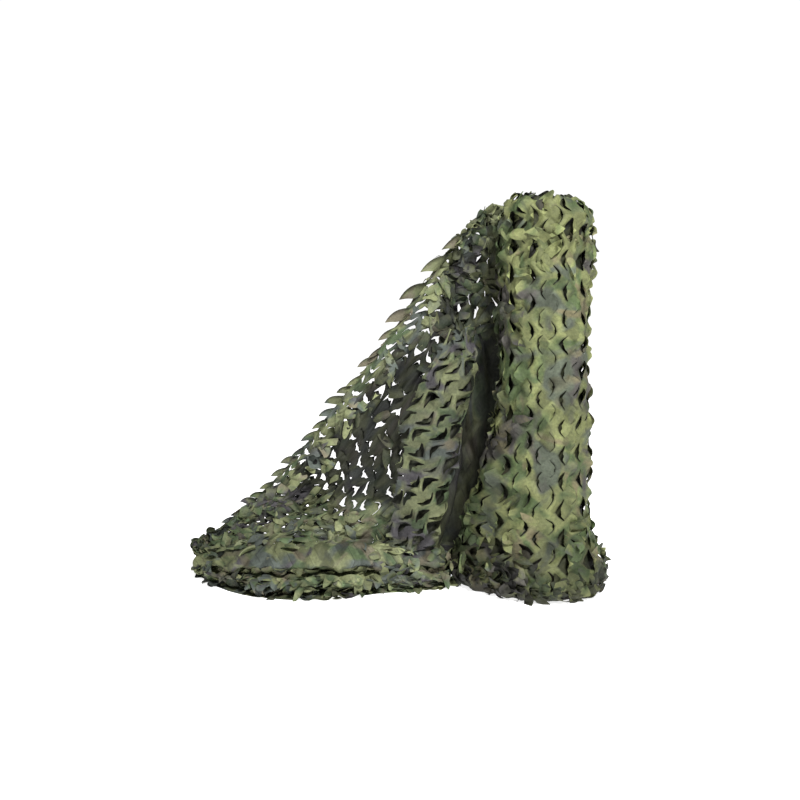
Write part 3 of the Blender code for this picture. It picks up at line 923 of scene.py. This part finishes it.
def make_roll_bands():
    rng = np.random.default_rng(77)
    spots = [
        # below the shoulder, along the left, and round the foot
        bands(rng, 36, (0, 12), (1.3, 2.9), (-1, 4), (0.5, 1.0),
              (0.026, 0.042), (0.045, 0.07), (0.15, 0.34)),
        bands(rng, 24, (1.2, 3.4), (0.8, 12.0), (-1, 4), (0.3, 0.7)),
        bands(rng, 56, (0, 12), (11.6, 14.2), (-1, 4), (0.3, 0.85),
              (0.024, 0.04), (0.05, 0.075), (0.15, 0.38)),
    ]
    return make_leaves("roll_bands", roll_surface, -1.0, np.concatenate(spots), 20, *CALM)


def make_end_turns():
    """The selvedges of the inner turns, wound down into the roll's end."""
    cells, turns = 30, 5.4
    net = Net(cells, 2, steps=6, inset=1, leg=4)
    curl = net.per_cell(51, 0.2, 0.9)
    du, dv, out = net.open(curl, 0.08, 0.003, 53)
    u, v = net.u + du, net.v + dv
    share = np.clip(u / cells, 0, 1)
    angle = LEAVE_ANGLE - turns * 2 * pi * share
    z = 1.460 - 0.030 * share - 0.06 * v + 0.004 * np.sin(7 * angle)
    r = 0.132 * (1 - share) ** 0.62 + 0.016 + 0.006 * value_noise(u, v, 0.9, 52) + out + 0.003 * v
    x = r * np.cos(angle)
    places = np.stack([x, r * np.sin(angle), z - shoulder_drop(x)], axis=1)
    flat = np.stack([net.u * 0.09 + 60, net.v * WIDTH / CELLS_WIDE, 0 * net.u], axis=1)
    shade = np.full_like(u, 0.8)
    return build("roll_end", places, net.quads, net.tris, flat, shade, shade)


# ---------------- materials
def fill(tree, made, inputs):
    """Link a node's inputs to outputs, or set them to numbers, vectors or colours."""
    for key, value in inputs.items():
        socket = made.inputs[key]
        if hasattr(value, "links"):
            tree.links.new(value, socket)
        else:
            socket.default_value = (*value, 1.0) if socket.type == "RGBA" else value


def node(tree, kind, inputs, **settings):
    made = tree.nodes.new(kind)
    for key, value in settings.items():
        setattr(made, key, value)
    fill(tree, made, inputs)
    return made


def ramp(tree, value, *stops):
    """Greys for a value: each stop is where it is, and how light."""
    made = node(tree, "ShaderNodeValToRGB", {0: value})
    for element, (at, grey) in zip(made.color_ramp.elements, stops):
        element.position, element.color = at, (grey, grey, grey, 1.0)
    return made.outputs["Color"]


def mix(tree, kind, factor, first, second):
    inputs = {0: factor, 6: first, 7: second}
    return node(tree, "ShaderNodeMix", inputs, data_type="RGBA", blend_type=kind).outputs[2]


def maths(tree, operation, *values):
    return node(tree, "ShaderNodeMath", dict(enumerate(values)), operation=operation).outputs[0]


def noise(tree, vector, scale, detail, rough, distortion=0.0):
    numbers = {"Scale": scale, "Detail": detail, "Roughness": rough, "Distortion": distortion}
    return node(tree, "ShaderNodeTexNoise", {"Vector": vector, **numbers}).outputs["Fac"]


SAGE = (0.270, 0.295, 0.120)
GREEN = (0.108, 0.156, 0.060)
COOL = (0.125, 0.148, 0.105)
GREY = (0.105, 0.098, 0.088)
TAN = (0.235, 0.210, 0.115)
# how far each kind of blotch moves the noise, its scale, where it begins and is full, and its colour
BLOTCHES = [
    ((0.0, 0.0, 0.0), 7.0, 0.48, 0.60, GREEN), ((7.3, 2.1, 0.5), 6.0, 0.53, 0.62, COOL),
    ((1.3, 9.4, 3.5), 5.5, 0.56, 0.65, GREY), ((4.1, 4.4, 8.5), 6.5, 0.57, 0.66, TAN),
]


def netting_material(name):
    """The printed cloth: blotches and creases on its flat coordinates, and the painted shade each point
    carries.
    """
    made = bpy.data.materials.new(name)
    made.use_nodes = True
    tree = made.node_tree
    carried = [("cloth", "Vector"), ("shade", "Fac"), ("shade_back", "Fac"), ("bluer", "Fac")]
    cloth, shade, shade_back, bluer = (
        node(tree, "ShaderNodeAttribute", {}, attribute_name=key).outputs[out] for key, out in carried
    )
    colour = SAGE
    for by, scale, begins, full, tint in BLOTCHES:
        moved = node(tree, "ShaderNodeVectorMath", {0: cloth, 1: by}, operation="ADD").outputs[0]
        blotch = ramp(tree, noise(tree, moved, scale, 2.5, 0.55, 0.8), (begins, 0.0), (full, 1.0))
        colour = mix(tree, "MIX", blotch, colour, tint)
    mottle = ramp(tree, noise(tree, cloth, 90.0, 5.0, 0.75), (0.3, 0.62), (0.7, 1.2))
    colour = mix(tree, "MULTIPLY", 1.0, colour, mottle)

    # The colour is multiplied by the painted shade on each point, the front's or the back's.
    turned = node(tree, "ShaderNodeNewGeometry", {}).outputs["Backfacing"]
    side = node(tree, "ShaderNodeMix", {0: turned, 2: shade, 3: shade_back}, data_type="FLOAT").outputs[0]
    # The loose end is less yellow than the roll.
    blue = maths(tree, "MULTIPLY", maths(tree, "MULTIPLY_ADD", bluer, 0.24, 0.97), side)
    dim = node(tree, "ShaderNodeCombineColor", {0: side, 1: side, 2: blue}).outputs[0]

    wrinkle, weave = noise(tree, cloth, 48.0, 4.0, 0.55), noise(tree, cloth, 700.0, 1.0, 0.5)
    height = maths(tree, "MULTIPLY_ADD", weave, 0.12, wrinkle)
    bump = node(tree, "ShaderNodeBump", {"Strength": 0.6, "Distance": 0.009, "Height": height})
    fill(tree, tree.nodes["Principled BSDF"], {
        "Base Color": mix(tree, "MULTIPLY", 1.0, colour, dim),
        "Roughness": 0.68,
        "Specular IOR Level": 0.3,
        "Normal": bump.outputs[0],
    })
    return made


netting = netting_material("netting_cloth")

loose = make_loose_end()
backing = make_backing()
roll = make_roll()
fringe = [make_fins(), make_loose_leaves(), make_loose_bands()]
curtain = make_curtain()
around = [make_under_layer(), make_roll_leaves(), make_roll_bands(), make_end_turns()]
for piece in (loose, backing, curtain, *fringe, roll, *around):
    piece.data.materials.append(netting)
    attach(piece, "root")
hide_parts("loose_end")
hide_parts("roll")

# ---------------- floor, light and camera
FLOOR = 30.0  # half its side
WHITE = (1, 1, 1)
floor_mesh = bpy.data.meshes.new("floor")
floor_corners = [(-FLOOR, -FLOOR, 0), (FLOOR, -FLOOR, 0), (FLOOR, FLOOR, 0), (-FLOOR, FLOOR, 0)]
floor_mesh.from_pydata(floor_corners, [], [(0, 1, 2, 3)])
floor = place_in_scene("floor", floor_mesh)
floor_look = bpy.data.materials.new("floor")
floor_look.use_nodes = True
fill(floor_look.node_tree, floor_look.node_tree.nodes["Principled BSDF"], {
    "Base Color": (0.93, 0.93, 0.93),
    "Roughness": 0.9,
    "Specular IOR Level": 0.0,
    "Emission Color": WHITE,
    "Emission Strength": 0.82,
})
floor_mesh.materials.append(floor_look)

# The camera sees a white studio, and the netting is lit by a dimmer one.
world = bpy.data.worlds.new("studio")
bpy.context.scene.world = world
world.use_nodes = True
tree = world.node_tree
seen = node(tree, "ShaderNodeLightPath", {}).outputs["Is Camera Ray"]
lit = node(tree, "ShaderNodeBackground", {"Color": WHITE, "Strength": 0.24}).outputs[0]
shown = tree.nodes["Background"]
fill(tree, shown, {"Color": WHITE, "Strength": 1.05})
choose = node(tree, "ShaderNodeMixShader", {0: seen, 1: lit, 2: shown.outputs[0]})
fill(tree, tree.nodes["World Output"], {"Surface": choose.outputs[0]})

key_light = bpy.data.lights.new("key", "AREA")
key_light.shape = "DISK"
key_light.size = 0.8
key_light.energy = 480
lamp = place_in_scene("key", key_light)
lamp.location = (0.6, -3.5, 4.3)
towards = Vector((-0.4, 0.0, 0.6)) - Vector(lamp.location)
lamp.rotation_euler = towards.to_track_quat("-Z", "Y").to_euler()

camera_data = bpy.data.cameras.new("camera")
camera_data.lens = 53.82
camera_data.sensor_width = 36.0
camera = place_in_scene("camera", camera_data)
camera.location = (-0.545, -4.5, 1.5)
camera.rotation_euler = (radians(80.32), 0.0, 0.0)
bpy.context.scene.camera = camera
bpy.context.scene.view_settings.view_transform = "Standard"
